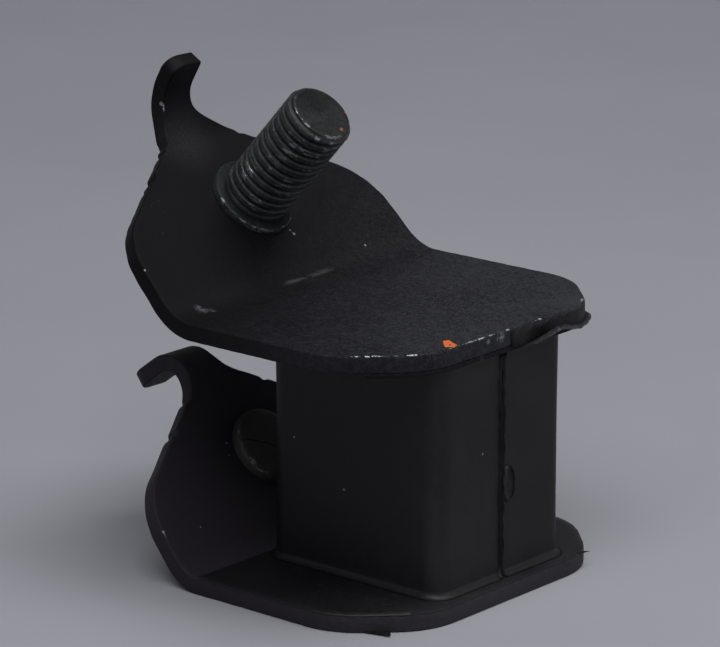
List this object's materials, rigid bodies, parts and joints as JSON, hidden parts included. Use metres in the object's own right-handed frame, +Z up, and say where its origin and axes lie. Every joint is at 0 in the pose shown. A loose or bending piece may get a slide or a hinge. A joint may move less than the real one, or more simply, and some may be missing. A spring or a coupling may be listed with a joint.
{
  "type": "engine mount",
  "caption": "Rubber engine mount bonded between two bent steel plates, each with a slanted flange, a curled tab and a threaded stud.",
  "frame": {"origin": "middle of the rubber block's footprint, on the underside of the lower plate's seat", "axes": "+Z up through the rubber block from the lower plate to the upper one; +X from the flanges towards the plates' rounded noses; Y across the plates"},
  "size_m": [0.079, 0.0656, 0.0814],
  "materials": {
    "black_paint": "satin",
    "rubber": "satin",
    "phosphate": "satin"
  },
  "bodies": {
    "root": {"lower_plate": "black_paint", "upper_plate": "black_paint", "rubber_block": "rubber", "lower_stud": "phosphate", "upper_stud": "phosphate"}
  },
  "joints": []
}
